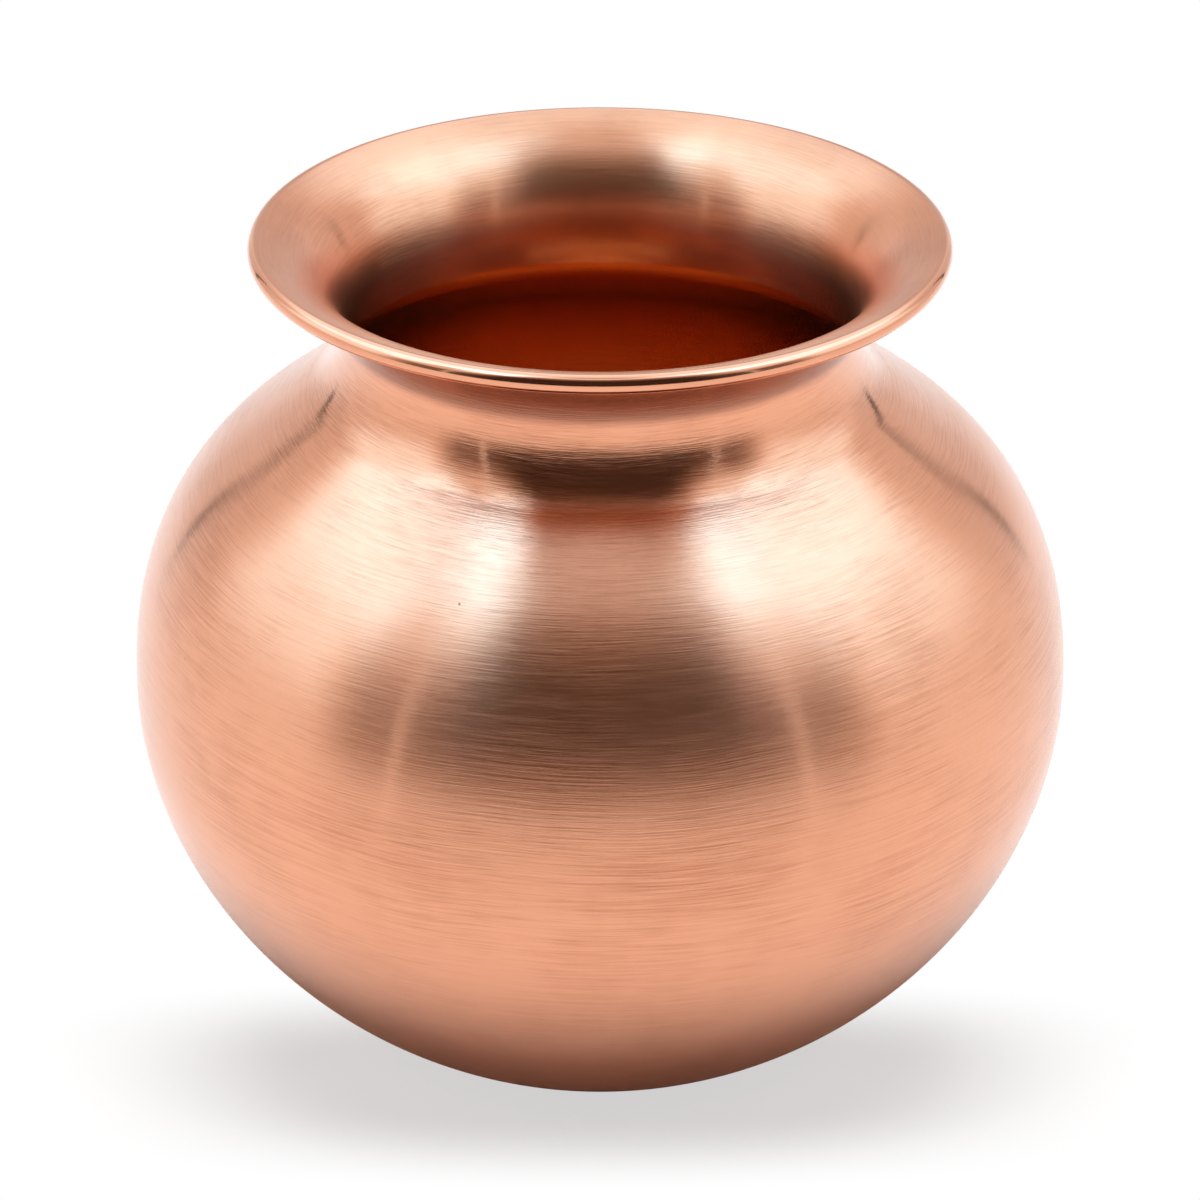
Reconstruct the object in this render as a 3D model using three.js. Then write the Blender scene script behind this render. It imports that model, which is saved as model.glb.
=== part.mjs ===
// A kalash: a round-bellied copper water pot with a narrow throat and a wide flared mouth.
//
// Millimetres, +Z up, the origin in the middle of the base on the surface that the pot stands on.
// The pot is turned from three sheets. The bowl is the lower half of the belly with the base,
// the shoulder is the upper half up to the throat, and the mouth collar is the throat with its
// flared lip. Each seam is a lap of two edges that are beaten thin, with a film of brazing filler
// between them, so it is no thicker than the wall and runs flush inside and out. The lip is rolled
// outwards and down around a stiffening wire.
//
// Every surface is measured from one outer skin, which runs from the middle of the base up to the
// lip. A station is a point of that skin with its outward normal, and a depth is a distance
// inwards from it along that normal.

import * as THREE from 'three';

// Belly
const BELLY_RADIUS = 65;
const BELLY_HEIGHT = 53;
const WALL = 1;

// Lower half of the belly, a superellipse that the flat base cuts off above its lowest point
const LOWER = { reach: -58.6, radialPower: 1.97, axialPower: 1.86 };

// Upper half of the belly, squarer at the shoulder than the lower half
const UPPER = { reach: 47.8, radialPower: 2.71, axialPower: 2.34 };
const SHOULDER_TILT = THREE.MathUtils.degToRad(52.5);

// Straight slope that goes on from the shoulder, then the throat and the flared mouth
const SLOPE_RUN = 11.6;
const NECK_FILLET_RADIUS = 11.7;
const FLARE_WIDTH = 13.9;
const FLARE_HEIGHT = 13.3;
const FLARE_SWEEP = THREE.MathUtils.degToRad(74.4);

// Rolled lip: the sheet is spun down to half its gauge there
const LIP_SHEET = 0.5;
const CURL_RADIUS = 1.27;
const CURL_END = THREE.MathUtils.degToRad(-178);
const WIRE_CLEARANCE = 0.12;

// Base: a flat ring to stand on around a middle that is pushed up
const DISH_RADIUS = 19;
const DISH_RISE = 1.2;
const KNUCKLE_HEIGHT = 1.1;

// Lapped seams
const LAP_HEIGHT = 4;
const LAP_CLEARANCE = 0.3;
const LAP_LEAF = (WALL - LAP_CLEARANCE) / 2;
const FILLER_THICKNESS = 0.1;
const SEAM_GAP = 0.1;
const NECK_SEAM_HEIGHT = 99.7;

// Facets
const ROUND_STEPS = 48;
const BODY_STEPS = 9;
const FILLET_STEPS = 4;
const FLARE_STEPS = 7;
const CURL_STEPS = 8;
const BASE_STEPS = 4;
const WIRE_SIDES = 8;
const LAP_STEPS = 2;

/** A point of the outer skin with its outward normal, which needn't have unit length. */
function station(radius, height, normalRadial, normalAxial) {
  return {
    point: new THREE.Vector2(radius, height),
    normal: new THREE.Vector2(normalRadial, normalAxial).normalize(),
  };
}

/** The stations that make(value) gives at equal steps from one value to another. */
function spread(from, to, steps, make) {
  return Array.from({ length: steps + 1 }, (_, step) => make(THREE.MathUtils.lerp(from, to, step / steps)));
}

/** The section points that lie a depth inside the stations. */
function atDepth(stations, depth) {
  return stations.map(({ point, normal }) => point.clone().addScaledVector(normal, -depth));
}

/** The same points in the opposite order. */
function backwards(points) {
  return [...points].reverse();
}

/** A station on one half of the belly; t is 0 at the belly line and a right angle at the pole. */
function bellyStation(half, t) {
  const across = Math.cos(t) ** (2 / half.radialPower);
  const along = Math.sin(t) ** (2 / half.axialPower);
  const normalRadial = (half.radialPower / BELLY_RADIUS) * across ** (half.radialPower - 1);
  const normalAxial = (half.axialPower / half.reach) * along ** (half.axialPower - 1);
  return station(BELLY_RADIUS * across, BELLY_HEIGHT + half.reach * along, normalRadial, normalAxial);
}

/** The t at which one half of the belly has reached a height. */
function bellyParameterAt(half, height) {
  return Math.asin(((height - BELLY_HEIGHT) / half.reach) ** (half.axialPower / 2));
}

/** The t at which the shoulder's normal has tilted up by an angle, found by halving. */
function shoulderParameterAtTilt(tilt) {
  let low = 0;
  let high = Math.PI / 2;
  while (high - low > 1e-9) {
    const middle = (low + high) / 2;
    if (bellyStation(UPPER, middle).normal.angle() < tilt) {
      low = middle;
    } else {
      high = middle;
    }
  }
  return low;
}

const shoulderEnd = shoulderParameterAtTilt(SHOULDER_TILT);
const shoulderTop = bellyStation(UPPER, shoulderEnd);
const upTheSlope = new THREE.Vector2(-shoulderTop.normal.y, shoulderTop.normal.x);
const slopeTop = shoulderTop.point.clone().addScaledVector(upTheSlope, SLOPE_RUN);
const THROAT_RADIUS = slopeTop.x - NECK_FILLET_RADIUS * (1 - Math.cos(SHOULDER_TILT));
const THROAT_HEIGHT = slopeTop.y + NECK_FILLET_RADIUS * Math.sin(SHOULDER_TILT);

/** A station on the hollow fillet below the throat, where the normal tilts up by an angle. */
function filletStation(tilt) {
  return station(
    THROAT_RADIUS + NECK_FILLET_RADIUS * (1 - Math.cos(tilt)),
    THROAT_HEIGHT - NECK_FILLET_RADIUS * Math.sin(tilt),
    Math.cos(tilt),
    Math.sin(tilt),
  );
}

/** The tilt at which the fillet below the throat passes a height. */
function filletTiltAt(height) {
  return Math.asin((THROAT_HEIGHT - height) / NECK_FILLET_RADIUS);
}

/** A station on the flare, a quarter ellipse that starts upright at the throat. */
function flareStation(sweep) {
  return station(
    THROAT_RADIUS + FLARE_WIDTH * (1 - Math.cos(sweep)),
    THROAT_HEIGHT + FLARE_HEIGHT * Math.sin(sweep),
    FLARE_HEIGHT * Math.cos(sweep),
    -FLARE_WIDTH * Math.sin(sweep),
  );
}

/** A station on the pushed-up middle of the base. */
function dishStation(radius) {
  const turn = (Math.PI * radius) / DISH_RADIUS;
  const slope = (-DISH_RISE * Math.PI * Math.sin(turn)) / (2 * DISH_RADIUS);
  return station(radius, (DISH_RISE * (1 + Math.cos(turn))) / 2, slope, -1);
}

/** The stations of the knuckle, which rounds the flat ring of the base into the belly. */
function knuckleStations(end) {
  const upward = new THREE.Vector2(-end.normal.y, end.normal.x);
  const corner = end.point.clone().addScaledVector(upward, -end.point.y / upward.y);
  const start = new THREE.Vector2(corner.x - corner.distanceTo(end.point), 0);
  const bend = new THREE.QuadraticBezierCurve(start, corner, end.point);
  return spread(0, 1, BASE_STEPS, (share) => {
    const point = bend.getPoint(share);
    const tangent = bend.getTangent(share);
    return station(point.x, point.y, tangent.y, -tangent.x);
  });
}

/** Points on an arc around a centre. */
function arc(centre, radius, from, to, steps) {
  return Array.from({ length: steps + 1 }, (_, step) => {
    const angle = THREE.MathUtils.lerp(from, to, step / steps);
    return new THREE.Vector2(centre.x + radius * Math.cos(angle), centre.y + radius * Math.sin(angle));
  });
}

/** A round piece turned from its section, whose points run up the outside and down the inside. */
function turned(name, section, material) {
  const geometry = new THREE.LatheGeometry(section, ROUND_STEPS);
  geometry.rotateX(Math.PI / 2);
  const mesh = new THREE.Mesh(geometry, material);
  mesh.name = name;
  return mesh;
}

/** A turned ring: a section that comes back to its first point instead of meeting the axis. */
function turnedRing(name, section, material) {
  return turned(name, [...section, section[0].clone()], material);
}

/** A film of filler in the middle of a lap, short of both of its ends. */
function fillerRing(name, stations, material) {
  const outerDepth = (WALL - FILLER_THICKNESS) / 2;
  const section = [
    ...atDepth(stations, outerDepth),
    ...backwards(atDepth(stations, outerDepth + FILLER_THICKNESS)),
  ];
  return turnedRing(name, section, material);
}

// Seams: each lap runs up from its foot for the height of the lap
const bellyLapTop = bellyParameterAt(UPPER, BELLY_HEIGHT + LAP_HEIGHT);
const bellyLapGap = bellyParameterAt(UPPER, BELLY_HEIGHT + SEAM_GAP);
const neckLapFoot = filletTiltAt(NECK_SEAM_HEIGHT);
const neckLapTop = filletTiltAt(NECK_SEAM_HEIGHT + LAP_HEIGHT);
const bellyLap = spread(0, bellyLapTop, LAP_STEPS, (t) => bellyStation(UPPER, t));
const neckLap = spread(neckLapFoot, neckLapTop, LAP_STEPS, filletStation);

/** The base and the lower half of the belly, with a thin inner leaf standing up into the lap. */
function bowl(material) {
  const knuckleTop = bellyParameterAt(LOWER, KNUCKLE_HEIGHT);
  const belly = spread(knuckleTop, 0, BODY_STEPS, (t) => bellyStation(LOWER, t));
  const skin = [
    ...spread(0, DISH_RADIUS, BASE_STEPS, dishStation),
    ...knuckleStations(belly[0]).slice(0, -1),
    ...belly,
  ];
  const section = [
    ...atDepth(skin, 0),
    ...atDepth(bellyLap, WALL - LAP_LEAF),
    ...backwards(atDepth(bellyLap.slice(1), WALL)),
    ...backwards(atDepth(skin, WALL)),
  ];
  return turned('bowl', section, material);
}

/** The upper half of the belly, with a thin outer leaf at each of its two laps. */
function shoulder(material) {
  const lowerLeaf = spread(bellyLapGap, bellyLapTop + bellyLapGap, LAP_STEPS, (t) => bellyStation(UPPER, t));
  const belly = spread(bellyLapTop + bellyLapGap, shoulderEnd, BODY_STEPS, (t) => bellyStation(UPPER, t));
  const seamGapTilt = filletTiltAt(NECK_SEAM_HEIGHT - SEAM_GAP);
  const root = spread(SHOULDER_TILT, seamGapTilt, FILLET_STEPS, filletStation);
  const upperLeaf = spread(seamGapTilt, neckLapTop, LAP_STEPS, filletStation);
  const section = [
    ...atDepth([...lowerLeaf, ...belly.slice(1), ...root, ...upperLeaf.slice(1)], 0),
    ...backwards(atDepth(upperLeaf, LAP_LEAF)),
    ...backwards(atDepth([...belly, ...root], WALL)),
    ...backwards(atDepth(lowerLeaf, LAP_LEAF)),
  ];
  return turnedRing('shoulder', section, material);
}

// Rolled lip: the curl starts where the top face of the flare ends, and runs on from it
const lip = flareStation(FLARE_SWEEP);
const curlCentre = atDepth([lip], LIP_SHEET - CURL_RADIUS)[0];
const curlStart = Math.PI + lip.normal.angle() - 2 * Math.PI;

/** The throat and the flared mouth with its lip rolled over, and a thin inner leaf in the lap. */
function mouthCollar(material) {
  const seamGapTilt = filletTiltAt(NECK_SEAM_HEIGHT + LAP_HEIGHT + SEAM_GAP);
  const throat = spread(seamGapTilt, 0, 1, filletStation);
  const sweeps = spread(0, FLARE_SWEEP, FLARE_STEPS, (sweep) => sweep).slice(1);
  const flareOutside = sweeps.map((sweep) => atDepth([flareStation(sweep)], 0)[0]);
  const flareInside = sweeps.map((sweep) => {
    const thinned = THREE.MathUtils.lerp(WALL, LIP_SHEET, sweep / FLARE_SWEEP);
    return atDepth([flareStation(sweep)], thinned)[0];
  });
  const leaf = [...neckLap.slice(0, -1), throat[0]];
  const section = [
    ...atDepth(throat, 0),
    ...flareOutside,
    ...arc(curlCentre, CURL_RADIUS - LIP_SHEET, curlStart, CURL_END, CURL_STEPS).slice(1),
    ...arc(curlCentre, CURL_RADIUS, CURL_END, curlStart, CURL_STEPS).slice(0, -1),
    ...backwards(flareInside),
    ...backwards(atDepth([...leaf, throat[1]], WALL)),
    ...atDepth(leaf, WALL - LAP_LEAF),
  ];
  return turnedRing('mouth_collar', section, material);
}

/** The wire that the lip is rolled around. */
function rimWire(material) {
  const radius = CURL_RADIUS - LIP_SHEET - WIRE_CLEARANCE;
  return turnedRing('rim_wire', arc(curlCentre, radius, 0, 2 * Math.PI, WIRE_SIDES).slice(0, -1), material);
}

/** The filler in the belly seam. */
function bellyBraze(material) {
  const foot = bellyParameterAt(UPPER, BELLY_HEIGHT + 2 * SEAM_GAP);
  const top = bellyParameterAt(UPPER, BELLY_HEIGHT + LAP_HEIGHT - SEAM_GAP);
  return fillerRing('belly_braze', spread(foot, top, LAP_STEPS, (t) => bellyStation(UPPER, t)), material);
}

/** The filler in the neck seam. */
function neckBraze(material) {
  const foot = filletTiltAt(NECK_SEAM_HEIGHT + SEAM_GAP);
  const top = filletTiltAt(NECK_SEAM_HEIGHT + LAP_HEIGHT - SEAM_GAP);
  return fillerRing('neck_braze', spread(foot, top, LAP_STEPS, filletStation), material);
}

/** Bare copper; each piece has its own, so that any of them can be refinished alone. */
function copper(roughness) {
  return new THREE.MeshStandardMaterial({ color: 0xc8764e, roughness, metalness: 1 });
}

/** Brazing filler, a little yellower than the copper that it joins. */
function brazingFiller() {
  return new THREE.MeshStandardMaterial({ color: 0xc99a5a, roughness: 0.5, metalness: 1 });
}

const BRUSHED = 0.3;
const DRAWN = 0.4;

const kalash = new THREE.Group();
kalash.name = 'kalash';
kalash.add(
  bowl(copper(BRUSHED)),
  shoulder(copper(BRUSHED)),
  mouthCollar(copper(BRUSHED)),
  rimWire(copper(DRAWN)),
  bellyBraze(brazingFiller()),
  neckBraze(brazingFiller()),
);

export default kalash;
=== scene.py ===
"""Looks of a kalash: a round-bellied copper water pot, spun on a lathe and brushed while it turned.

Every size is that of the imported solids. The bowl, the shoulder, the mouth collar and the rim wire are
rebuilt here on the same section with a finer surface, and each takes the finish that its copper has.
The brazing filler stays as it is packed and only takes its finish, because it is shut inside the
seams.
"""

import logging
import math
from collections.abc import Callable, Sequence
from dataclasses import dataclass
from enum import Enum

import bpy
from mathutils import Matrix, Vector, noise


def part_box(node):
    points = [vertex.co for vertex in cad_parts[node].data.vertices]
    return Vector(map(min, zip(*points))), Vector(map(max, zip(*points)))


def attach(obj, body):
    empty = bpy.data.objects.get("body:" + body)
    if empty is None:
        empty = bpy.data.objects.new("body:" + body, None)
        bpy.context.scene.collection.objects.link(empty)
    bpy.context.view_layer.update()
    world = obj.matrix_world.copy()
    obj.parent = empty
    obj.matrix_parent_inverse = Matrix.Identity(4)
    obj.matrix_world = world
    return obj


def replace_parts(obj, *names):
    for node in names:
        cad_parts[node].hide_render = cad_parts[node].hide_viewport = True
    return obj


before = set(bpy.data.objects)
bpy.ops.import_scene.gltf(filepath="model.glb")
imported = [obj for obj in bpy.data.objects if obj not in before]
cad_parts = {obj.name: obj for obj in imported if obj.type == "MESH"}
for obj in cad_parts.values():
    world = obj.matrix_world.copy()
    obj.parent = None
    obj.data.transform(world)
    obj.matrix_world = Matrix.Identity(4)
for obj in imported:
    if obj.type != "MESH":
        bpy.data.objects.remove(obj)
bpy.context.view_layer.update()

MM = 0.001
BODY = "root"
ROUND_STEPS = 240
ON_AXIS = 1e-6
SHARP_EDGE = math.radians(50)
QUARTER_TURN = 0.25
ALL_ROUND = (-360, 360)

Pair = tuple[float, float]
Tree = bpy.types.NodeTree
Socket = bpy.types.NodeSocket

log = logging.getLogger("kalash")


class Zone(Enum):
    """Which way a stretch of the section faces, and so which finish it takes."""

    OUTSIDE = 0
    INSIDE = 1
    LIP = 2


@dataclass(frozen=True)
class Station:
    """A point of the outer skin, as radius and height, with its outward normal."""

    point: Vector
    normal: Vector

    def at_depth(self, depth: float) -> Vector:
        """The section point that lies a depth inside the skin."""
        return self.point - self.normal * depth


@dataclass(frozen=True)
class Ring:
    """One circle of a turned piece: its size, its height and how strongly the brush marked it."""

    radius: float
    height: float
    zone: Zone
    marks: float


def alike(spots: Sequence[Vector], zone: Zone, marks: float) -> list[Ring]:
    """Rings through section points that all face one way and are marked alike."""
    return [Ring(spot.x, spot.y, zone, marks) for spot in spots]


def station(radius: float, height: float, across: float, along: float) -> Station:
    """A station whose normal need not have unit length.

    Args:
        radius: distance from the axis, in metres.
        height: height above the base, in metres.
        across: radial share of the normal.
        along: upright share of the normal.

    Returns:
        The station with its normal made one unit long.
    """
    return Station(Vector((radius, height)), Vector((across, along)).normalized())


def spread(start: float, end: float, steps: int, make: Callable[[float], Station]) -> list[Station]:
    """Stations at equal steps of one value.

    Args:
        start: the first value.
        end: the last value.
        steps: how many steps lie between them.
        make: gives the station at a value.

    Returns:
        One station more than there are steps.
    """
    return [make(start + (end - start) * step / steps) for step in range(steps + 1)]


@dataclass(frozen=True)
class BellyHalf:
    """One half of the belly: a superellipse that reaches up or down from the belly line."""

    reach: float
    radial_power: float
    axial_power: float


@dataclass(frozen=True)
class Skin:
    """The outer skin of the whole pot, from the middle of the base to the end of the flare.

    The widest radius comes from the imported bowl. The other sizes are the pot's driving dimensions.
    """

    belly_radius: float
    belly_height: float = 53 * MM
    lower: BellyHalf = BellyHalf(-58.6 * MM, 1.97, 1.86)
    upper: BellyHalf = BellyHalf(47.8 * MM, 2.71, 2.34)
    shoulder_tilt: float = math.radians(52.5)
    slope_run: float = 11.6 * MM
    fillet_radius: float = 11.7 * MM
    flare_width: float = 13.9 * MM
    flare_height: float = 13.3 * MM
    flare_sweep: float = math.radians(74.4)
    dish_radius: float = 19 * MM
    dish_rise: float = 1.2 * MM
    knuckle_height: float = 1.1 * MM
    tilt_accuracy: float = 1e-9

    def belly(self, half: BellyHalf, t: float) -> Station:
        """A station on one half of the belly.

        Args:
            half: the upper or the lower half.
            t: 0 at the belly line and a right angle at the pole.

        Returns:
            The station.
        """
        across = math.cos(t) ** (2 / half.radial_power)
        along = math.sin(t) ** (2 / half.axial_power)
        return station(
            self.belly_radius * across,
            self.belly_height + half.reach * along,
            half.radial_power / self.belly_radius * across ** (half.radial_power - 1),
            half.axial_power / half.reach * along ** (half.axial_power - 1),
        )

    def belly_parameter(self, half: BellyHalf, height: float) -> float:
        """The t at which a half of the belly has reached a height."""
        return math.asin(((height - self.belly_height) / half.reach) ** (half.axial_power / 2))

    @property
    def shoulder_end(self) -> float:
        """The t at which the shoulder has tilted as far as the fillet begins, found by halving.

        Returns:
            The t on the upper half of the belly.
        """
        low, high = 0.0, math.pi / 2
        while high - low > self.tilt_accuracy:
            middle = (low + high) / 2
            normal = self.belly(self.upper, middle).normal
            if math.atan2(normal.y, normal.x) < self.shoulder_tilt:
                low = middle
            else:
                high = middle
        return low

    @property
    def slope_top(self) -> Vector:
        """The upper end of the straight slope that goes on from the shoulder."""
        foot = self.belly(self.upper, self.shoulder_end)
        return foot.point + Vector((-foot.normal.y, foot.normal.x)) * self.slope_run

    @property
    def throat(self) -> Vector:
        """Radius and height of the narrowest circle of the neck."""
        inward = self.fillet_radius * (1 - math.cos(self.shoulder_tilt))
        return self.slope_top + Vector((-inward, self.fillet_radius * math.sin(self.shoulder_tilt)))

    def fillet(self, tilt: float) -> Station:
        """A station on the hollow fillet below the throat.

        Args:
            tilt: the angle by which the normal looks up there.

        Returns:
            The station.
        """
        centre = self.throat + Vector((self.fillet_radius, 0))
        normal = Vector((math.cos(tilt), math.sin(tilt)))
        return Station(centre - normal * self.fillet_radius, normal)

    def fillet_tilt(self, height: float) -> float:
        """The tilt at which the fillet passes a height."""
        return math.asin((self.throat.y - height) / self.fillet_radius)

    def flare(self, sweep: float) -> Station:
        """A station on the flare, a quarter ellipse that starts upright at the throat.

        Args:
            sweep: the ellipse's angle, 0 at the throat.

        Returns:
            The station.
        """
        return station(
            self.throat.x + self.flare_width * (1 - math.cos(sweep)),
            self.throat.y + self.flare_height * math.sin(sweep),
            self.flare_height * math.cos(sweep),
            -self.flare_width * math.sin(sweep),
        )

    def dish(self, radius: float) -> Station:
        """A station on the pushed-up middle of the base.

        Args:
            radius: distance from the axis, in metres.

        Returns:
            The station, whose normal looks down.
        """
        turn = math.pi * radius / self.dish_radius
        slope = -self.dish_rise * math.pi * math.sin(turn) / (2 * self.dish_radius)
        return station(radius, self.dish_rise * (1 + math.cos(turn)) / 2, slope, -1)

    def knuckle(self, steps: int) -> list[Station]:
        """The round edge between the flat ring of the base and the belly.

        Args:
            steps: how many steps the bend takes.

        Returns:
            Its stations, from the flat ring up to the belly.
        """
        end = self.belly(self.lower, self.belly_parameter(self.lower, self.knuckle_height))
        upward = Vector((-end.normal.y, end.normal.x))
        corner = end.point - upward * (end.point.y / upward.y)
        start = Vector((corner.x - (end.point - corner).length, 0))

        def bend(share: float) -> Station:
            """A station of the bend.

            Args:
                share: how much of the bend lies behind it.

            Returns:
                The station.
            """
            first, last = start.lerp(corner, share), corner.lerp(end.point, share)
            run = last - first
            point = first.lerp(last, share)
            return station(point.x, point.y, run.y, -run.x)

        return spread(0, 1, steps, bend)


@dataclass(frozen=True)
class Wall:
    """The sheet that the pot is turned from, and how its edges meet in a seam."""

    thickness: float = 1.0 * MM
    lap_height: float = 4.0 * MM
    lap_clearance: float = 0.3 * MM
    neck_seam_height: float = 99.7 * MM

    @property
    def leaf(self) -> float:
        """Thickness of each beaten-out edge in a lap."""
        return (self.thickness - self.lap_clearance) / 2


@dataclass(frozen=True)
class HandWork:
    """The faint unevenness that a spinner's hand leaves in a wall, which bends its reflections."""

    depth: float = 0.045 * MM
    around: float = 26 * MM
    upright: float = 11 * MM
    flat_below: float = 3 * MM

    def dent(self, point: Vector) -> float:
        """How far the wall lies inside its true section at a point.

        Args:
            point: a point of the wall, in metres.

        Returns:
            A distance towards the axis, never below 0, and 0 at the foot.
        """
        spot = Vector((point.x / self.around, point.y / self.around, point.z / self.upright))
        share = min(1.0, max(0.0, point.z / self.flat_below - 1))
        return self.depth * share * (0.5 + 0.5 * noise.noise(spot))


def turned(
    name: str, rings: Sequence[Ring], finishes: Sequence[bpy.types.Material], closed: bool,
) -> bpy.types.Object:
    """Makes a round piece from the rings of its section.

    Args:
        name: the piece's name.
        rings: its circles, up the outside and down the inside.
        finishes: one material for each zone that the rings name, in the order of Zone.
        closed: True where the last ring meets the first, and False where both ends meet the axis.

    Returns:
        The piece, smooth but for its real edges, riding on the pot's body.
    """
    hand = HandWork()
    points: list[Vector] = []
    marks: list[float] = []
    starts: list[tuple[int, int]] = []
    for ring in rings:
        count = 1 if ring.radius < ON_AXIS else ROUND_STEPS
        starts.append((len(points), count))
        for step in range(count):
            angle = 2 * math.pi * step / ROUND_STEPS
            spot = Vector((math.cos(angle) * ring.radius, math.sin(angle) * ring.radius, ring.height))
            inward = hand.dent(spot)
            spot.x -= math.cos(angle) * inward * (count > 1)
            spot.y -= math.sin(angle) * inward * (count > 1)
            points.append(spot)
            marks.append(ring.marks)
    faces: list[tuple[int, ...]] = []
    slots: list[int] = []
    pairs = list(zip(range(len(rings)), range(1, len(rings))))
    if closed:
        pairs.append((len(rings) - 1, 0))
    for here, there in pairs:
        (low, low_count), (high, high_count) = starts[here], starts[there]
        for step in range(ROUND_STEPS):
            after = (step + 1) % ROUND_STEPS
            lower = (low + step % low_count, low + after % low_count)
            upper = (high + after % high_count, high + step % high_count)
            faces.append(tuple(dict.fromkeys(lower + upper)))
            slots.append(rings[here].zone.value)
    mesh = bpy.data.meshes.new(name)
    mesh.from_pydata(points, [], faces)
    for finish in finishes:
        mesh.materials.append(finish)
    mesh.polygons.foreach_set("material_index", slots)
    mesh.polygons.foreach_set("use_smooth", [True] * len(faces))
    brushed = mesh.attributes.new("lathe_marks", "FLOAT", "POINT")
    brushed.data.foreach_set("value", marks)
    mesh.set_sharp_from_angle(angle=SHARP_EDGE)
    mesh.update()
    piece = bpy.data.objects.new(name, mesh)
    bpy.context.scene.collection.objects.link(piece)
    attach(piece, BODY)
    return piece


def linear(colour: str) -> tuple[float, float, float, float]:
    """Turns an sRGB hex colour into the linear one that a shader takes, by the curve of sRGB itself."""
    parts = [int(colour[place:place + 2], 16) / 255 for place in (1, 3, 5)]
    return (*(part / 12.92 if part <= 0.04045 else ((part + 0.055) / 1.055) ** 2.4 for part in parts), 1.0)


def add_node(
    tree: Tree, kind: str, settings: dict[str, object] | None = None,
    inputs: dict[str | int, object] | None = None,
) -> bpy.types.Node:
    """Adds a node with its settings, values and links.

    Args:
        tree: the node tree that it goes into.
        kind: the node's type name.
        settings: its properties by name.
        inputs: its inputs by name or number, each a value or the output socket that feeds it.

    Returns:
        The new node.
    """
    node = tree.nodes.new(kind)
    for name, value in (settings or {}).items():
        setattr(node, name, value)
    for name, value in (inputs or {}).items():
        if isinstance(value, Socket):
            tree.links.new(value, node.inputs[name])
        else:
            node.inputs[name].default_value = value
    return node


def empty_tree(data: bpy.types.Material | bpy.types.World) -> Tree:
    """The node tree of a material or a world, with nothing in it.

    Args:
        data: the material or the world, which is switched to nodes.

    Returns:
        Its tree.
    """
    data.use_nodes = True
    data.node_tree.nodes.clear()
    return data.node_tree


@dataclass(frozen=True)
class Marks:
    """Where the copper is marked: grain lies around 0, and furrows and pits go from 0 to 1."""

    grain: Socket
    furrows: Socket
    pits: Socket


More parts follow.
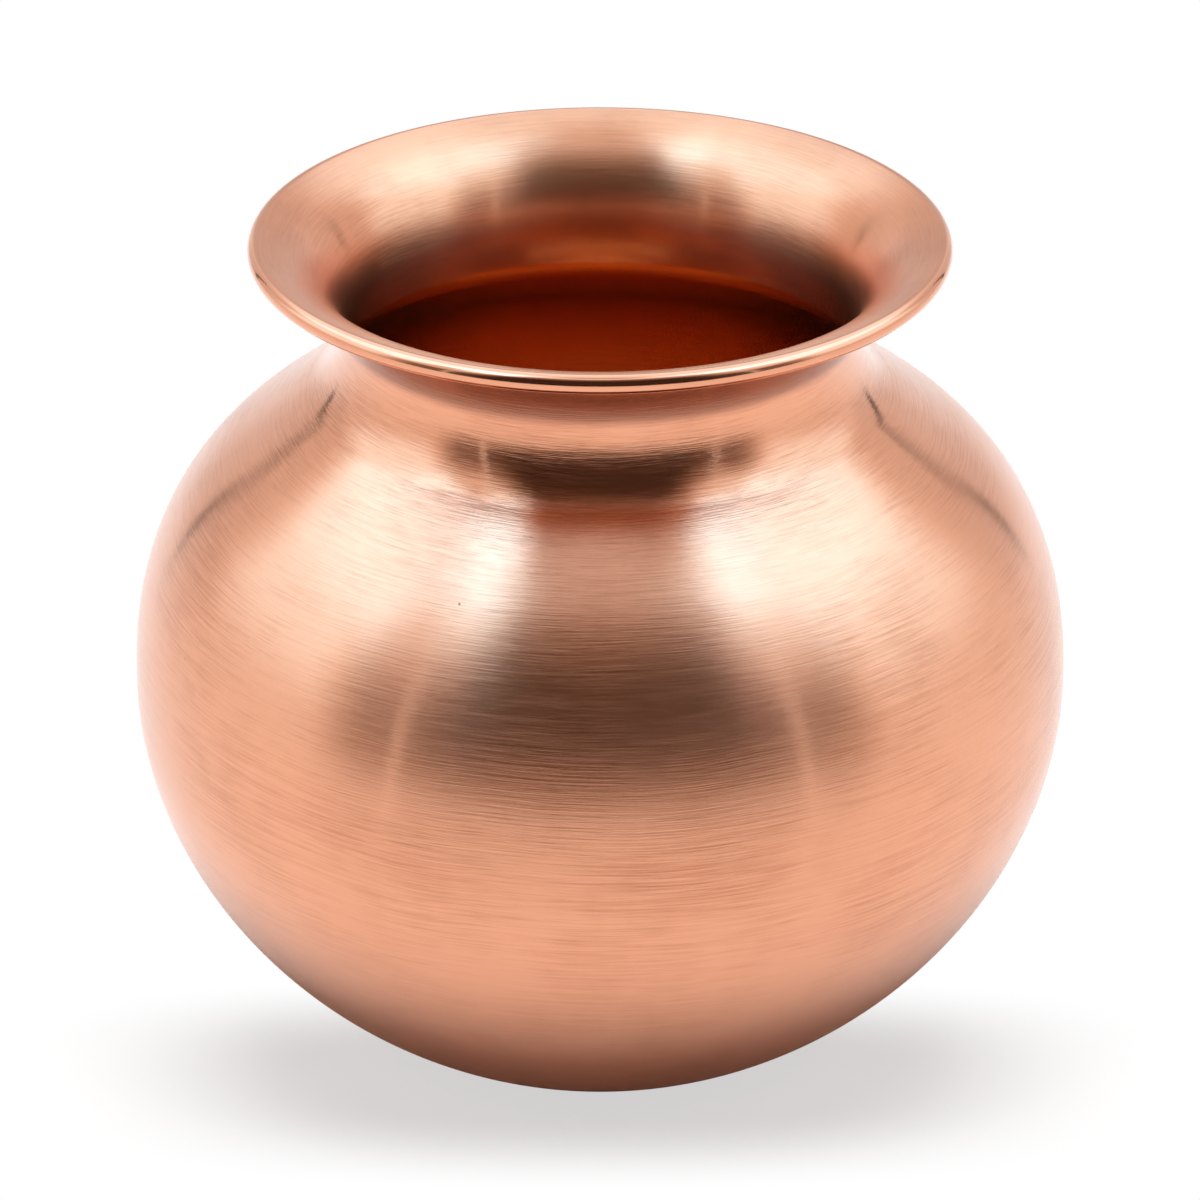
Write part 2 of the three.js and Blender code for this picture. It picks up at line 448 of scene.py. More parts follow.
@dataclass(frozen=True)
class CopperFinish:
    """Bare copper, or filler of nearly the same metal, with the marks of turning and brushing.

    The brush leaves broken rings. To the eye they widen a highlight across them and keep it narrow
    along them, and each ring flashes on its own. Real ones are about 0.05 mm apart and wouldn't
    show, so they are drawn 0.2 mm apart and deeper. The thin coat is the film of oil or wax that
    keeps bare copper from tarnishing: it pales the edges of the pot.

    A span is a pair of values between which an effect grows from nothing to its full strength.
    Polish is what the roughness loses on the way up to the neck, and the painted shade is how much
    of its dark colour covers the copper under the lip. The length of a ring's pieces holds at arc_radius.
    """

    name: str
    colour: str = "#E7A07C"
    worn_colour: str = "#B86E49"
    pit_colour: str = "#A0603F"
    # Painted shade: the dark colour laid on the copper under the rolled lip, where the flare's underside is
    # in shade.
    under_lip_shade_colour: str = "#99614A"
    roughness: float = 0.21
    anisotropy: float = 1.0
    coat: float = 0.5
    coat_roughness: float = 0.2
    grain_spacing: float = 0.2 * MM
    grain_length: float = 9 * MM
    grain_depth: float = 0.05 * MM
    grain_octaves: float = 2.0
    grain_shade: float = 2.2
    furrow_spacing: float = 0.26 * MM
    furrow_length: float = 9 * MM
    furrow_depth: float = 0.012 * MM
    furrow_octaves: float = 2.5
    furrow_span: Pair = (0.45, 0.8)
    furrow_haze: float = 0.1
    arc_radius: float = 60 * MM
    wander_depth: float = 0.6 * MM
    wander_size: float = 22 * MM
    cloud_size: float = 18 * MM
    cloud_octaves: float = 4.0
    octave_strength: float = 0.6
    brushing_span: Pair = (0.35, 0.65)
    least_brushing: float = 0.5
    stain_span: Pair = (0.4, 0.7)
    stain: float = 0.3
    pit_spacing: float = 9 * MM
    pit_radius: float = 0.16 * MM
    pit_floor: float = 0.3
    polish_span: Pair = (88 * MM, 96 * MM)
    polish: float = 0.05
    # Painted shade under the lip: the heights over which it comes in, and how much of its colour it lays on.
    under_lip_shade_span: Pair = (106.4 * MM, 108.4 * MM)
    under_lip_shade: float = 0.0

    def rings(self, tree: Tree, spacing: float, length: float, octaves: float) -> Socket:
        """Noise that is drawn out into broken rings about the axis, which wander a little up and down.

        Args:
            tree: the material's node tree.
            spacing: how far apart the rings are, in metres.
            length: how long one is, in metres.
            octaves: how many finer noises lie over the first.

        Returns:
            The output socket of the noise, from 0 to 1.
        """
        place = add_node(tree, "ShaderNodeTexCoord").outputs["Object"]
        split = add_node(tree, "ShaderNodeSeparateXYZ", inputs={0: place})
        flat = add_node(
            tree, "ShaderNodeCombineXYZ", inputs={0: split.outputs[0], 1: split.outputs[1]},
        ).outputs[0]
        radius = add_node(tree, "ShaderNodeVectorMath", {"operation": "LENGTH"}, {0: flat}).outputs["Value"]
        around = add_node(tree, "ShaderNodeVectorMath", {"operation": "NORMALIZE"}, {0: flat}).outputs[0]
        arcs = add_node(
            tree, "ShaderNodeVectorMath", {"operation": "SCALE"},
            {0: around, "Scale": self.arc_radius / length},
        ).outputs[0]
        wander = add_node(
            tree, "ShaderNodeTexNoise", {"noise_dimensions": "3D"},
            {"Vector": place, "Scale": 1 / self.wander_size, "Detail": 1.0},
        ).outputs[0]
        level = add_node(
            tree, "ShaderNodeMath", {"operation": "MULTIPLY_ADD"},
            {0: wander, 1: 2 * self.wander_depth, 2: split.outputs[2]},
        ).outputs[0]
        rise = add_node(tree, "ShaderNodeMath", {"operation": "DIVIDE"}, {0: level, 1: spacing}).outputs[0]
        height = add_node(tree, "ShaderNodeCombineXYZ", inputs={2: rise}).outputs[0]
        spot = add_node(tree, "ShaderNodeVectorMath", {"operation": "ADD"}, {0: arcs, 1: height}).outputs[0]
        sideways = add_node(
            tree, "ShaderNodeMath", {"operation": "DIVIDE"}, {0: radius, 1: spacing},
        ).outputs[0]
        return add_node(
            tree, "ShaderNodeTexNoise", {"noise_dimensions": "4D"},
            {
                "Vector": spot, "W": sideways, "Scale": 1.0, "Detail": octaves,
                "Roughness": self.octave_strength,
            },
        ).outputs[0]

    def marks(self, tree: Tree, place: Socket, clouds: Socket) -> Marks:
        """Grain, furrows and pits, brushed as strongly as the mesh's lathe_marks say.

        Args:
            tree: the material's node tree.
            place: the point on the pot.
            clouds: the slow noise that makes the brushing patchy.

        Returns:
            The three kinds of marks.
        """
        patchy = add_node(
            tree, "ShaderNodeMapRange",
            inputs={
                "Value": clouds, "From Min": self.brushing_span[0], "From Max": self.brushing_span[1],
                "To Min": self.least_brushing, "To Max": 1.0,
            },
        ).outputs[0]
        brushed = add_node(tree, "ShaderNodeAttribute", {"attribute_name": "lathe_marks"}).outputs["Fac"]
        strength = add_node(
            tree, "ShaderNodeMath", {"operation": "MULTIPLY"}, {0: brushed, 1: patchy},
        ).outputs[0]
        scored = self.rings(tree, self.grain_spacing, self.grain_length, self.grain_octaves)
        centred = add_node(tree, "ShaderNodeMath", {"operation": "SUBTRACT"}, {0: scored, 1: 0.5}).outputs[0]
        grain = add_node(
            tree, "ShaderNodeMath", {"operation": "MULTIPLY"}, {0: centred, 1: strength},
        ).outputs[0]
        ploughed = add_node(
            tree, "ShaderNodeMapRange",
            inputs={
                "Value": self.rings(tree, self.furrow_spacing, self.furrow_length, self.furrow_octaves),
                "From Min": self.furrow_span[0], "From Max": self.furrow_span[1],
            },
        ).outputs[0]
        furrows = add_node(
            tree, "ShaderNodeMath", {"operation": "MULTIPLY"}, {0: ploughed, 1: strength},
        ).outputs[0]
        near = add_node(
            tree, "ShaderNodeTexVoronoi", {"voronoi_dimensions": "3D", "feature": "F1"},
            {"Vector": place, "Scale": 1 / self.pit_spacing},
        ).outputs["Distance"]
        edge = self.pit_radius / self.pit_spacing
        pits = add_node(
            tree, "ShaderNodeMapRange",
            inputs={
                "Value": near, "From Min": self.pit_floor * edge, "From Max": edge,
                "To Min": 1.0, "To Max": 0.0,
            },
        ).outputs[0]
        return Marks(grain, furrows, pits)

    def relief(self, tree: Tree, marks: Marks) -> Socket:
        """The normals of the marked surface.

        Args:
            tree: the material's node tree.
            marks: the marks, whose furrows and pits lie below the grain.

        Returns:
            The output socket of the normal.
        """
        ploughed = add_node(
            tree, "ShaderNodeMath", {"operation": "MULTIPLY_ADD"},
            {0: marks.furrows, 1: -self.furrow_depth / self.grain_depth, 2: marks.grain},
        ).outputs[0]
        height = add_node(
            tree, "ShaderNodeMath", {"operation": "SUBTRACT"}, {0: ploughed, 1: marks.pits},
        ).outputs[0]
        return add_node(
            tree, "ShaderNodeBump", inputs={"Strength": 1.0, "Distance": self.grain_depth, "Height": height},
        ).outputs[0]

    def haze(self, tree: Tree, height: Socket, marks: Marks) -> Socket:
        """The roughness, which falls towards the neck and rises in the furrows.

        Args:
            tree: the material's node tree.
            height: the height above the base.
            marks: the marks.

        Returns:
            The output socket of the roughness.
        """
        even = add_node(
            tree, "ShaderNodeMapRange",
            inputs={
                "Value": height, "From Min": self.polish_span[0], "From Max": self.polish_span[1],
                "To Min": self.roughness, "To Max": self.roughness - self.polish,
            },
        ).outputs[0]
        return add_node(
            tree, "ShaderNodeMath", {"operation": "MULTIPLY_ADD"},
            {0: marks.furrows, 1: self.furrow_haze, 2: even},
        ).outputs[0]

    def tint(self, tree: Tree, height: Socket, clouds: Socket, marks: Marks) -> Socket:
        """The colour, darker where the copper is stained, scored or pitted, and with painted shade under the
        lip.

        Args:
            tree: the material's node tree.
            height: the height above the base.
            clouds: the slow noise that the stains follow.
            marks: the marks.

        Returns:
            The output socket of the colour.
        """
        stained = add_node(
            tree, "ShaderNodeMapRange",
            inputs={
                "Value": clouds, "From Min": self.stain_span[0], "From Max": self.stain_span[1],
                "To Min": 0.0, "To Max": self.stain,
            },
        ).outputs[0]
        shade = add_node(
            tree, "ShaderNodeMath", {"operation": "MULTIPLY_ADD", "use_clamp": True},
            {0: marks.grain, 1: -self.grain_shade, 2: stained},
        ).outputs[0]
        worn = add_node(
            tree, "ShaderNodeMix", {"data_type": "RGBA"},
            {0: shade, 6: linear(self.colour), 7: linear(self.worn_colour)},
        ).outputs[2]
        # Painted shade: above the height where the lip overhangs, the colour is darkened towards the shade
        # colour.
        under_lip_shade_mask = add_node(
            tree, "ShaderNodeMapRange", {"interpolation_type": "SMOOTHSTEP"},
            {
                "Value": height, "From Min": self.under_lip_shade_span[0], "From Max": self.under_lip_shade_span[1],
                "To Min": 0.0, "To Max": self.under_lip_shade,
            },
        ).outputs[0]
        under_lip_shaded = add_node(
            tree, "ShaderNodeMix", {"data_type": "RGBA"},
            {0: under_lip_shade_mask, 6: worn, 7: linear(self.under_lip_shade_colour)},
        ).outputs[2]
        return add_node(
            tree, "ShaderNodeMix", {"data_type": "RGBA"},
            {0: marks.pits, 6: under_lip_shaded, 7: linear(self.pit_colour)},
        ).outputs[2]

    def material(self) -> bpy.types.Material:
        """Builds the material.

        Its tangent runs along the rings, so a quarter turn stretches a highlight across them.

        Returns:
            The material, under the finish's own name.
        """
        made = bpy.data.materials.new(self.name)
        tree = empty_tree(made)
        place = add_node(tree, "ShaderNodeTexCoord").outputs["Object"]
        height = add_node(tree, "ShaderNodeSeparateXYZ", inputs={0: place}).outputs[2]
        clouds = add_node(
            tree, "ShaderNodeTexNoise", {"noise_dimensions": "3D"},
            {
                "Vector": place, "Scale": 1 / self.cloud_size, "Detail": self.cloud_octaves,
                "Roughness": self.octave_strength,
            },
        ).outputs[0]
        marks = self.marks(tree, place, clouds)
        tangent = add_node(tree, "ShaderNodeTangent", {"direction_type": "RADIAL", "axis": "Z"}).outputs[0]
        surface = add_node(
            tree, "ShaderNodeBsdfPrincipled",
            inputs={
                "Base Color": self.tint(tree, height, clouds, marks),
                "Metallic": 1.0,
                "Roughness": self.haze(tree, height, marks),
                "Anisotropic": self.anisotropy,
                "Anisotropic Rotation": QUARTER_TURN,
                "Coat Weight": self.coat,
                "Coat Roughness": self.coat_roughness,
                "Normal": self.relief(tree, marks),
                "Tangent": tangent,
            },
        )
        add_node(tree, "ShaderNodeOutputMaterial", inputs={"Surface": surface.outputs[0]})
        return made


# Brushed on the lathe as the last work on the outside: broken rings under a soft sheen that stretches
# upright. The neck took more polish and mirrors more sharply. Under the lip the colour is darkened
# with painted shade, where the flare's underside lies in shade.
LATHE_BRUSHED = CopperFinish("lathe_brushed_copper", polish=0.08, under_lip_shade=0.9)

# As it came off the chuck, never brushed: an even satin with the forming tool's shallower rings. It
# turns a deep orange where the walls light each other.
AS_SPUN = CopperFinish(
    "spun_copper_inside", colour="#EB9E65", roughness=0.22, anisotropy=0.5, grain_depth=0.03 * MM,
)

# Brushed by hand through the mouth: softer and a little warmer than the outside.
HAND_BRUSHED = CopperFinish("brushed_copper_throat", colour="#EAA079", polish=-0.02, grain_depth=0.03 * MM)

# Burnished by the wheel that rolled the lip over: a sharper highlight with hardly a mark in it.
BURNISHED = CopperFinish("polished_copper_lip", roughness=0.16, anisotropy=0.2, grain_depth=0.004 * MM)

# Pulled through a die: smooth, with the faintest lines.
DIE_DRAWN = CopperFinish("drawn_copper_wire", roughness=0.25, anisotropy=0.3, grain_depth=0.004 * MM)

# Brazing filler that ran into the lap and set there: yellower than copper, dull and even.
FILLER = CopperFinish("brazing_filler_as_set", colour="#E6CBA0", roughness=0.35, anisotropy=0.0)


@dataclass
class Vessel:
    """The pot's body: the bowl and the shoulder, which meet in a lapped seam at the belly line."""

    skin: Skin
    wall: Wall
    outside: bpy.types.Material
    inside: bpy.types.Material
    belly_steps: int = 64
    fillet_steps: int = 20
    base_steps: int = 12
    belly_lap_steps: int = 4
    neck_lap_steps: int = 8
    inside_marks: float = 0.7
    outside_marks: tuple[Pair, ...] = (
        (0.0, 0.25), (30 * MM, 0.35), (48 * MM, 0.85), (75 * MM, 0.8), (90 * MM, 0.75), (97 * MM, 0.8),
    )

    def marks_at(self, height: float) -> float:
        """How strongly the brush marked the outside.

        Args:
            height: the height above the base, in metres.

        Returns:
            The strength, which runs straight from one height of outside_marks to the next.
        """
        for (low, weak), (high, strong) in zip(self.outside_marks, self.outside_marks[1:]):
            if height <= high:
                return weak + (strong - weak) * max(0.0, height - low) / (high - low)
        return self.outside_marks[-1][1]

    def outer(self, stations: Sequence[Station], depth: float = 0.0) -> list[Ring]:
        """Rings of the outside, in the order of the stations."""
        spots = [place.at_depth(depth) for place in stations]
        return [Ring(spot.x, spot.y, Zone.OUTSIDE, self.marks_at(spot.y)) for spot in spots]

    def inner(self, stations: Sequence[Station], depth: float) -> list[Ring]:
        """Rings of the inside, in the opposite order of the stations."""
        return alike([place.at_depth(depth) for place in reversed(stations)], Zone.INSIDE, self.inside_marks)

    def belly_lap(self) -> list[Station]:
        """The stations of the lap that runs up from the belly line."""
        top = self.skin.belly_parameter(self.skin.upper, self.skin.belly_height + self.wall.lap_height)
        return spread(0, top, self.belly_lap_steps, lambda t: self.skin.belly(self.skin.upper, t))

    def bowl(self) -> bpy.types.Object:
        """Makes the base and the lower half of the belly.

        Returns:
            The piece.
        """
        skin, wall = self.skin, self.wall
        knuckle = skin.knuckle(self.base_steps)
        foot = skin.belly_parameter(skin.lower, skin.knuckle_height)
        belly = spread(foot, 0, self.belly_steps, lambda t: skin.belly(skin.lower, t))
        whole = [*spread(0, skin.dish_radius, self.base_steps, skin.dish), *knuckle[:-1], *belly]
        lap = self.belly_lap()
        rings = [
            *self.outer(whole),
            *self.outer(lap, wall.thickness - wall.leaf),
            *self.inner(lap[1:], wall.thickness),
            *self.inner(whole, wall.thickness),
        ]
        piece = turned("bowl_copper", rings, [self.outside, self.inside], closed=False)
        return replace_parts(piece, "bowl")

    def shoulder(self) -> bpy.types.Object:
        """Makes the upper half of the belly, up to the seam at the neck.

        Returns:
            The piece.
        """
        skin, wall = self.skin, self.wall
        lap = self.belly_lap()
        top = skin.belly_parameter(skin.upper, skin.belly_height + wall.lap_height)
        belly = spread(top, skin.shoulder_end, self.belly_steps, lambda t: skin.belly(skin.upper, t))
        seam = skin.fillet_tilt(wall.neck_seam_height)
        root = spread(skin.shoulder_tilt, seam, self.fillet_steps, skin.fillet)
        edge = skin.fillet_tilt(wall.neck_seam_height + wall.lap_height)
        leaf = spread(seam, edge, self.neck_lap_steps, skin.fillet)
        rings = [
            *self.outer([*lap[:-1], *belly, *root, *leaf[1:]]),
            *self.inner(leaf, wall.leaf),
            *self.inner([*belly, *root], wall.thickness),
            *self.inner(lap, wall.leaf),
        ]
        piece = turned("shoulder_copper", rings, [self.outside, self.inside], closed=True)
        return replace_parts(piece, "shoulder")


@dataclass
class Mouth:
    """The throat and the flare with its lip rolled over, and the wire inside the roll."""

    skin: Skin
    wall: Wall
    brushed: bpy.types.Material
    throat: bpy.types.Material
    polished: bpy.types.Material
    drawn: bpy.types.Material
    lip_sheet: float = 0.5 * MM
    curl_radius: float = 1.27 * MM
    curl_end: float = math.radians(-178)
    wire_clearance: float = 0.12 * MM
    throat_steps: int = 6
    lap_steps: int = 8
    flare_steps: int = 48
    curl_steps: int = 28
    wire_sides: int = 20
    neck_marks: float = 0.8
    under_lip_marks: float = 0.2
    lip_marks: float = 0.1
    brim_marks: float = 0.3
    flare_marks: float = 0.6
    throat_marks: float = 0.5
    hidden_marks: float = 0.2

    def curl_centre(self) -> Vector:
        """Radius and height of the middle of the rolled lip."""
        return self.skin.flare(self.skin.flare_sweep).at_depth(self.lip_sheet - self.curl_radius)

    def curl(self, radius: float) -> list[Vector]:
        """The points of the roll, but for the first, which is the end of the flare.

        Args:
            radius: their distance from the middle of the roll, in metres.

        Returns:
            The points, from the top of the flare to the edge of the sheet.
        """
        normal = self.skin.flare(self.skin.flare_sweep).normal
        start = math.atan2(normal.y, normal.x) + math.pi
        sweep = self.curl_end - start
        turns = [start + sweep * step / self.curl_steps for step in range(1, self.curl_steps + 1)]
        return [self.curl_centre() + Vector((math.cos(turn), math.sin(turn))) * radius for turn in turns]

    def flare(self) -> tuple[list[Ring], list[Ring]]:
        """The rings of the flare, whose sheet thins towards the lip.

        Returns:
            Those of its outside, going up, and those of its inside, going down.
        """
        outside: list[Ring] = []
        inside: list[Ring] = []
        for step in range(1, self.flare_steps + 1):
            sweep = self.skin.flare_sweep * step / self.flare_steps
            share = sweep / self.skin.flare_sweep
            place = self.skin.flare(sweep)
            depth = self.wall.thickness + (self.lip_sheet - self.wall.thickness) * share
            below = max(self.under_lip_marks, self.neck_marks - share)
            above = self.brim_marks + (self.flare_marks - self.brim_marks) * (1 - share)
            outside += alike([place.at_depth(0)], Zone.OUTSIDE, below)
            inside += alike([place.at_depth(depth)], Zone.INSIDE, above)
        return outside, inside[::-1]

    def collar(self) -> bpy.types.Object:
        """Makes the throat and the flared mouth.

        Returns:
            The piece.
        """
        skin, wall = self.skin, self.wall
        low = skin.fillet_tilt(wall.neck_seam_height)
        high = skin.fillet_tilt(wall.neck_seam_height + wall.lap_height)
        throat = spread(high, 0, self.throat_steps, skin.fillet)
        lap = spread(low, high, self.lap_steps, skin.fillet)
        flare_outside, flare_inside = self.flare()
        neck = [place.at_depth(0) for place in throat]
        within = [place.at_depth(wall.thickness) for place in reversed([*lap, *throat[1:]])]
        hidden = [place.at_depth(wall.thickness - wall.leaf) for place in lap]
        rings = [
            *alike(neck, Zone.OUTSIDE, self.neck_marks),
            *flare_outside,
            *alike(self.curl(self.curl_radius - self.lip_sheet), Zone.LIP, self.lip_marks),
            *alike(self.curl(self.curl_radius)[::-1], Zone.LIP, self.lip_marks),
            *flare_inside,
            *alike(within, Zone.INSIDE, self.throat_marks),
            *alike(hidden, Zone.OUTSIDE, self.hidden_marks),
        ]
        piece = turned("mouth_collar_copper", rings, [self.brushed, self.throat, self.polished], closed=True)
        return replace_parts(piece, "mouth_collar")

    def wire(self) -> bpy.types.Object:
        """Makes the wire that the lip is rolled around.

        Returns:
            The piece.
        """
        radius = self.curl_radius - self.lip_sheet - self.wire_clearance
        turns = [2 * math.pi * side / self.wire_sides for side in range(self.wire_sides)]
        spots = [self.curl_centre() + Vector((math.cos(turn), math.sin(turn))) * radius for turn in turns]
        rings = alike(spots, Zone.OUTSIDE, self.hidden_marks)
        piece = turned("rim_wire_copper", rings, [self.drawn], closed=True)
        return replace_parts(piece, "rim_wire")


@dataclass(frozen=True)
class Direction:
    """A direction seen from the pot: degrees round from the camera side, and above the floor."""

    azimuth: float
    elevation: float

    def vector(self) -> Vector:
        """The unit vector; azimuth 0 is towards the camera, along -Y, and 90 is along +X."""
        turn, rise = math.radians(self.azimuth), math.radians(self.elevation)
        return Vector((math.sin(turn) * math.cos(rise), -math.cos(turn) * math.cos(rise), math.sin(rise)))


@dataclass(frozen=True)
class Patch:
    """A stretch of the studio's walls that is brighter or darker than the rest, with soft edges.

    Angles are in degrees, and the edges are the width of its soft border each way.
    """

    name: str
    azimuths: Pair
    elevations: Pair
    brightness: float
    edges: Pair
    twin: bool = True

    def cover(self, azimuth: float, elevation: float) -> float:
        """How much of the patch, or of its twin on the other side, lies at a direction.

        Args:
            azimuth: the direction round from the camera side, in degrees.
            elevation: the direction above the floor, in degrees.

        Returns:
            From 0 outside the patch to 1 inside it.
        """
        if self.twin:
            azimuth = abs(azimuth)
        share = 1.0
        spans = ((azimuth, self.azimuths, self.edges[0]), (elevation, self.elevations, self.edges[1]))
        for value, (low, high), edge in spans:
            inside = min(value - low, high - value) / edge + 0.5
            inside = min(1.0, max(0.0, inside))
            share *= inside * inside * (3 - 2 * inside)
        return share


# What the pot mirrors in the studio. Each patch is laid over those above it in this list.
PATCHES = (
    Patch("rear top light", (126, 234), (38, 80), 1.8, (14, 10)),
    Patch("overhead", ALL_ROUND, (70, 120), 1.5, (10, 8)),
    Patch("dark ceiling", ALL_ROUND, (83, 130), 0.75, (10, 8)),
    Patch("gap overhead", (-60, 42), (56, 72), 0.24, (30, 8)),
    Patch("softbox", (68, 130), (38, 82), 2.7, (10, 8)),
    Patch("glow under the softbox", (71, 116), (16, 40), 1.8, (14, 16)),
    Patch("left baffle", (-68, -52), (40, 60), 1.1, (8, 8), twin=False),
    Patch("left strip", (-56, -39), (47, 66), 2.5, (8, 6), twin=False),
    Patch("left top strip", (-82, -49), (60, 76), 3.8, (8, 6), twin=False),
    Patch("right baffle", (42, 68), (41, 57), 1.5, (8, 8), twin=False),
    Patch("right top strip", (56, 83), (57, 72), 3.7, (12, 8), twin=False),
    Patch("grey side", (24, 66), (-30, 32), 0.22, (18, 10)),
    Patch("dark front", (-60, 46), (-9, 58), 0.038, (30, 6)),
    Patch("grey rear side", (122, 152), (-30, 32), 0.82, (10, 8)),
    Patch("dark rear", (158, 202), (4, 34), 0.7, (10, 10)),
)


@dataclass
class Studio:
    """A white table in a white room, with a softbox on each side and dark cloth in front.

    Distances are in metres and angles in degrees. Brightness 1 is as bright as white paper.
    """

    lamp_distance: float = 3.0
    lamp_width: float = 2.2
    lamp_brightness: float = 8.1
    room_light: float = 0.1
    table_half: float = 4.0
    paper: float = 0.9
    paper_glow: float = 0.615
    shade_middle: Pair = (0.0, -25.3 * MM)
    shade_reach: Pair = (84 * MM, 19 * MM)
    shade_span: Pair = (0.55, 1.45)
    wall_distance: float = 1.5
    wall_step: int = 2
    wall_foot: int = -2
    strip_distance: float = 1.45
    slit_azimuths: Pair = (47.3, 48.6)
    slit_elevations: Pair = (0.0, 40.0)
    slit_brightness: float = 1.4
    stand_azimuths: Pair = (134.4, 137.1)
    stand_elevations: Pair = (-2.0, 24.0)
    stand_brightness: float = 0.05
    bright_tint: Pair = (0.5, 1.3)
    dim_tint: Pair = (0.87, 1.08)

    def room(self) -> None:
        """Makes the world: white where it is seen or mirrored, and dimmer as a light."""
        world = bpy.data.worlds.new("white_room")
        tree = empty_tree(world)
        path = add_node(tree, "ShaderNodeLightPath")
        seen = path.outputs["Is Camera Ray"]
        for ray in ("Is Glossy Ray", "Is Transmission Ray"):
            seen = add_node(
                tree, "ShaderNodeMath", {"operation": "ADD", "use_clamp": True},
                {0: seen, 1: path.outputs[ray]},
            ).outputs[0]
        level = add_node(
            tree, "ShaderNodeMapRange", inputs={"Value": seen, "To Min": self.room_light, "To Max": 1.0},
        ).outputs[0]
        light = add_node(tree, "ShaderNodeBackground", inputs={"Color": (1, 1, 1, 1), "Strength": level})
        add_node(tree, "ShaderNodeOutputWorld", inputs={"Surface": light.outputs[0]})
        bpy.context.scene.world = world

    def paper_material(self) -> bpy.types.Material:
        """White paper on a light box.

        Its own light drowns the pot's shadow everywhere but in front of the foot, where the camera
        sees a light, soft one.

        Returns:
            The material.
        """
        made = bpy.data.materials.new("white_paper_on_light_box")
        tree = empty_tree(made)
        path = add_node(tree, "ShaderNodeLightPath")
        away = add_node(tree, "ShaderNodeTexCoord").outputs["Object"]
        away = add_node(
            tree, "ShaderNodeVectorMath", {"operation": "SUBTRACT"}, {0: away, 1: (*self.shade_middle, 0)},
        ).outputs[0]
        away = add_node(
            tree, "ShaderNodeVectorMath", {"operation": "DIVIDE"}, {0: away, 1: (*self.shade_reach, 1)},
        ).outputs[0]
        away = add_node(tree, "ShaderNodeVectorMath", {"operation": "LENGTH"}, {0: away}).outputs["Value"]
        lit = add_node(
            tree, "ShaderNodeMapRange", {"interpolation_type": "SMOOTHSTEP"},
            {
                "Value": away, "From Min": self.shade_span[0], "From Max": self.shade_span[1],
                "To Min": self.paper_glow, "To Max": 1.0,
            },
        ).outputs[0]
        glowing = add_node(
            tree, "ShaderNodeMath", {"operation": "MULTIPLY"}, {0: path.outputs["Is Camera Ray"], 1: lit},
        ).outputs[0]
        paper = add_node(tree, "ShaderNodeBsdfDiffuse", inputs={"Color": (self.paper,) * 3 + (1,)})
        glow = add_node(tree, "ShaderNodeEmission", inputs={"Color": (1, 1, 1, 1), "Strength": 1.0})
        both = add_node(
            tree, "ShaderNodeMixShader", inputs={0: glowing, 1: paper.outputs[0], 2: glow.outputs[0]},
        )
        add_node(tree, "ShaderNodeOutputMaterial", inputs={"Surface": both.outputs[0]})
        return made

    def table(self) -> None:
        """Makes the table that the pot stands on."""
        half = self.table_half
        mesh = bpy.data.meshes.new("table_top")
        corners = [(-half, -half, 0), (half, -half, 0), (half, half, 0), (-half, half, 0)]
        mesh.from_pydata(corners, [], [(0, 1, 2, 3)])
        mesh.materials.append(self.paper_material())
        table = bpy.data.objects.new("table_top", mesh)
        bpy.context.scene.collection.objects.link(table)

    def lamp(self, name: str, towards: Direction) -> None:
        """Makes a square lamp, whose light the table takes and the copper doesn't mirror.

        Args:
            name: the lamp's name.
            towards: where it hangs, seen from the pot.
        """
        data = bpy.data.lights.new(name, "AREA")
        data.shape = "SQUARE"
        data.size = self.lamp_width
        data.energy = self.lamp_brightness * math.pi * self.lamp_width ** 2
        lamp = bpy.data.objects.new(name, data)
        lamp.location = towards.vector() * self.lamp_distance
        lamp.rotation_euler = (-towards.vector()).to_track_quat("-Z", "Y").to_euler()
        lamp.visible_camera = False
        lamp.visible_glossy = False
        bpy.context.scene.collection.objects.link(lamp)

    def glow_material(self) -> bpy.types.Material:
        """A glow that takes its colour from the mesh and that only the pot mirrors.

        It goes out once a path has left the table, so the pot doesn't tint its own shadow.

        Returns:
            The material.
        """
        made = bpy.data.materials.new("studio_glow")
        tree = empty_tree(made)
        bounced = add_node(tree, "ShaderNodeLightPath").outputs["Diffuse Depth"]
        level = add_node(tree, "ShaderNodeMath", {"operation": "LESS_THAN"}, {0: bounced, 1: 0.5}).outputs[0]
        colour = add_node(tree, "ShaderNodeAttribute", {"attribute_name": "glow"}).outputs["Color"]
        light = add_node(tree, "ShaderNodeEmission", inputs={"Color": colour, "Strength": level})
        add_node(tree, "ShaderNodeOutputMaterial", inputs={"Surface": light.outputs[0]})
        return made

    def glow(self, brightness: float) -> tuple[float, float, float]:
        """The colour of a glow: warmer where it is dim and cooler where it is bright, as on a print."""
        red, blue = self.bright_tint if brightness > 1 else self.dim_tint
        return (brightness ** red, brightness, brightness ** blue)

    def wall_shade(self, azimuth: float, elevation: float) -> tuple[float, float, float]:
        """The colour of the studio's walls in a direction, each patch laid over those before it.

        Args:
            azimuth: the direction round from the camera side, in degrees.
            elevation: the direction above the floor, in degrees.

        Returns:
            The colour.
        """
        brightness = 1.0
        for patch in PATCHES:
            brightness += (patch.brightness - brightness) * patch.cover(azimuth, elevation)
        return self.glow(brightness)

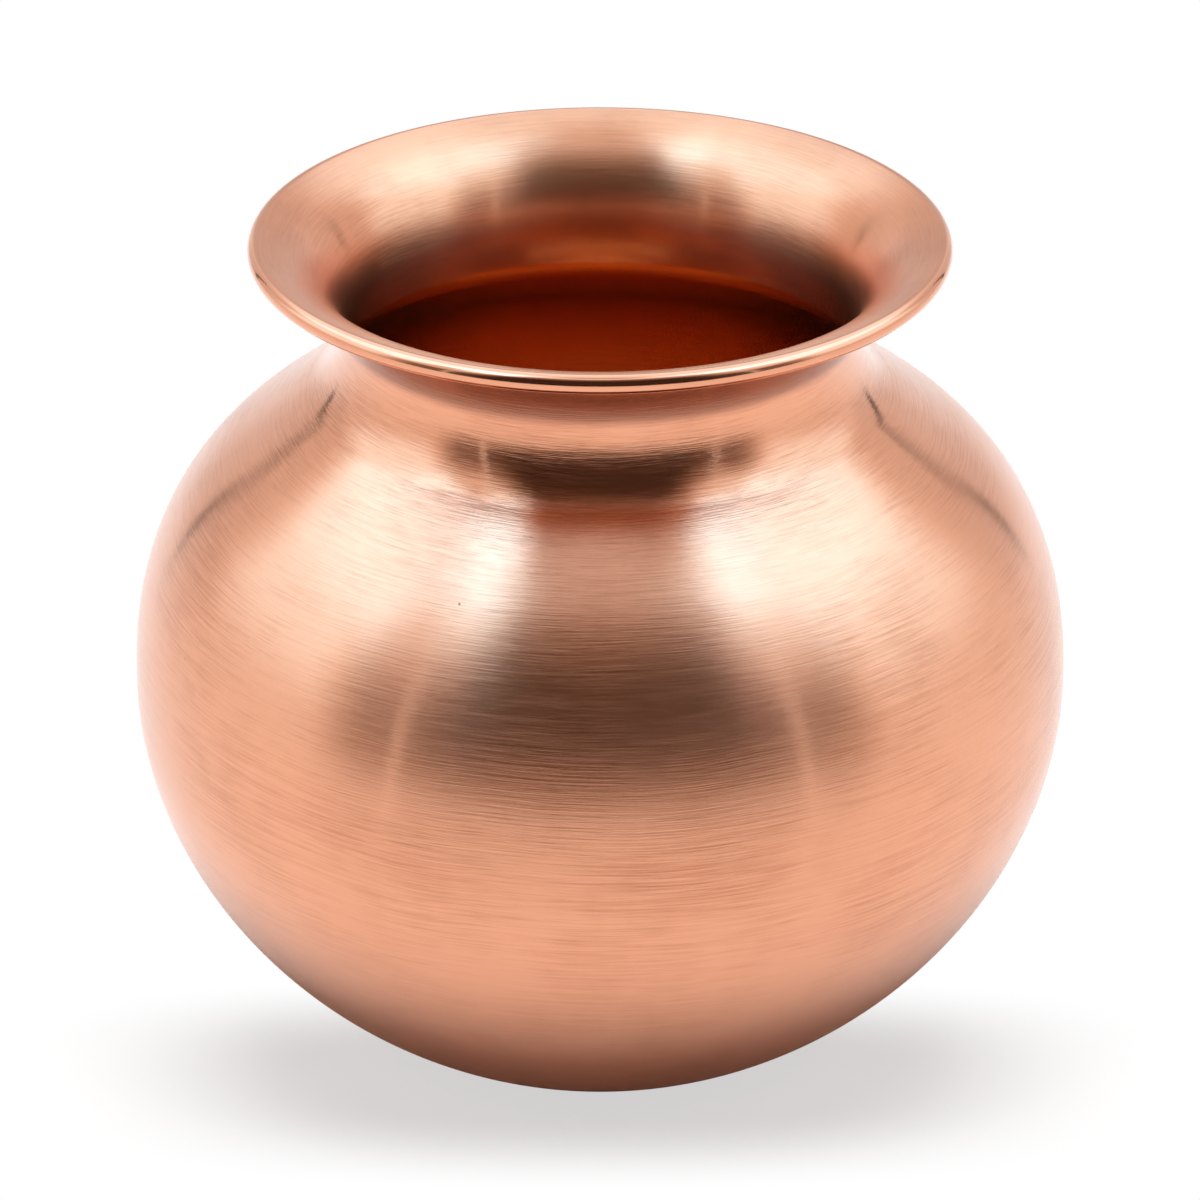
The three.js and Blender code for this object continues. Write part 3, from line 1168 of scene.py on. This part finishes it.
    def mirrored(
        self, name: str, azimuths: Sequence[float], elevations: Sequence[float], distance: float,
        shade: Callable[[float, float], Sequence[float]], material: bpy.types.Material,
    ) -> None:
        """Makes a curved wall that the pot mirrors and the camera doesn't see.

        Args:
            name: the wall's name.
            azimuths: the azimuths of its columns, in degrees.
            elevations: the elevations of its rows, in degrees.
            distance: how far it stands from the pot, in metres.
            shade: gives its colour at an azimuth and an elevation.
            material: the glow that shows that colour.
        """
        points = [Direction(a, e).vector() * distance for e in elevations for a in azimuths]
        colours = [(*shade(a, e), 1.0) for e in elevations for a in azimuths]
        wide = len(azimuths)
        corners = [row * wide + column for row in range(len(elevations) - 1) for column in range(wide - 1)]
        faces = [(corner, corner + 1, corner + wide + 1, corner + wide) for corner in corners]
        mesh = bpy.data.meshes.new(name)
        mesh.from_pydata(points, [], faces)
        glow = mesh.attributes.new("glow", "FLOAT_COLOR", "POINT")
        glow.data.foreach_set("color", [part for colour in colours for part in colour])
        mesh.materials.append(material)
        wall = bpy.data.objects.new(name, mesh)
        wall.visible_camera = False
        wall.visible_diffuse = False
        wall.visible_shadow = False
        bpy.context.scene.collection.objects.link(wall)

    def build(self) -> None:
        """Sets up the whole studio."""
        self.room()
        self.table()
        glow = self.glow_material()
        self.mirrored(
            "studio_walls", range(-180, 181, self.wall_step), range(self.wall_foot, 91, self.wall_step),
            self.wall_distance, self.wall_shade, glow,
        )
        self.lamp("overhead_lamp", Direction(0, 90))
        slit, stand = self.glow(self.slit_brightness), self.glow(self.stand_brightness)
        for side, name in ((-1, "left"), (1, "right")):
            self.mirrored(
                f"bright_slit_{name}", [side * azimuth for azimuth in self.slit_azimuths],
                self.slit_elevations, self.strip_distance, lambda *direction: slit, glow,
            )
            self.mirrored(
                f"stand_{name}", [side * azimuth for azimuth in self.stand_azimuths],
                self.stand_elevations, self.strip_distance, lambda *direction: stand, glow,
            )


@dataclass
class Viewpoint:
    """The photograph's camera, which looks down at the pot through a long lens."""

    distance: float = 0.585
    elevation: float = 27.74
    target_height: float = 63.31 * MM
    lens: float = 125.32
    sensor_width: float = 36.0
    sight: Pair = (0.01, 20.0)

    def build(self) -> None:
        """Makes the camera and gives it to the scene."""
        data = bpy.data.cameras.new("camera")
        data.lens = self.lens
        data.sensor_width = self.sensor_width
        data.clip_start, data.clip_end = self.sight
        camera = bpy.data.objects.new("camera", data)
        towards = Direction(0, self.elevation).vector()
        camera.location = Vector((0, 0, self.target_height)) + towards * self.distance
        camera.rotation_euler = (-towards).to_track_quat("-Z", "Y").to_euler()
        bpy.context.scene.collection.objects.link(camera)
        bpy.context.scene.camera = camera


def main() -> None:
    """Builds the camera, the studio and the pot, and logs each brazing filler that it dresses."""
    logging.basicConfig(level=logging.INFO, format="%(name)s: %(message)s")
    bpy.context.scene.view_settings.view_transform = "Standard"
    Viewpoint().build()
    Studio().build()
    skin = Skin(belly_radius=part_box("bowl")[1].x)
    wall = Wall()
    finishes = (LATHE_BRUSHED, AS_SPUN, HAND_BRUSHED, BURNISHED, DIE_DRAWN, FILLER)
    brushed, as_spun, hand_brushed, burnished, drawn, filler = (finish.material() for finish in finishes)
    vessel = Vessel(skin, wall, brushed, as_spun)
    mouth = Mouth(skin, wall, brushed, hand_brushed, burnished, drawn)
    for piece in (vessel.bowl(), vessel.shoulder(), mouth.collar(), mouth.wire()):
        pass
    for node in ("belly_braze", "neck_braze"):
        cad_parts[node].data.materials.clear()
        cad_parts[node].data.materials.append(filler)
        log.info("%s: the packed solid, dressed", node)


if __name__ == "__main__":
    main()
